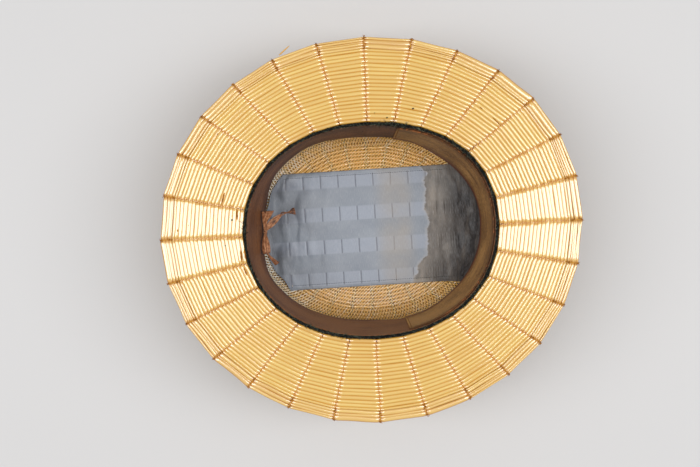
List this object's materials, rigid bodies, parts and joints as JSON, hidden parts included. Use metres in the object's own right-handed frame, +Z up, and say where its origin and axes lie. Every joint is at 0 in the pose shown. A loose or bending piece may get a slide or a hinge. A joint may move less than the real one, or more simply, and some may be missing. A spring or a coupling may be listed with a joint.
{
  "type": "straw boater hat",
  "caption": "Stiff straw hat with a flat oval crown and a flat brim, lying upside down: straw rows tied in radial lines, leather sweatband, net and silk linings, ribbon bow.",
  "frame": {"origin": "middle of the crown's flat outer tip, which the hat lies on", "axes": "+X to the front of the hat, +Y to the wearer's right as it lies upside down, +Z up out of the head opening"},
  "size_m": [0.3287, 0.3006, 0.0888],
  "materials": {
    "straw": "glossy golden straw rows with brown thread ties",
    "edge_straw": "split glossy straw with dark stitches",
    "welt_cloth": "frayed black-green cord",
    "dark_leather": "worn dark brown leather",
    "tan_leather": "worn tan leather with stitched seams",
    "net": "open beige net",
    "silk": "blue-grey silk with woven squares and a brown water stain",
    "ribbon": "rust-brown silk ribbon"
  },
  "bodies": {
    "root": {"crown": "straw", "brim": "straw", "brim_edge": "edge_straw", "welt": "welt_cloth", "sweatband": "dark_leather", "sweatband_front": "tan_leather", "gauze_lining": "net", "silk_lining": "silk", "bow_knot": "ribbon", "bow_loop_upper": "ribbon", "bow_loop_lower": "ribbon", "bow_tail_upper": "ribbon", "bow_tail_lower": "ribbon"}
  },
  "joints": []
}
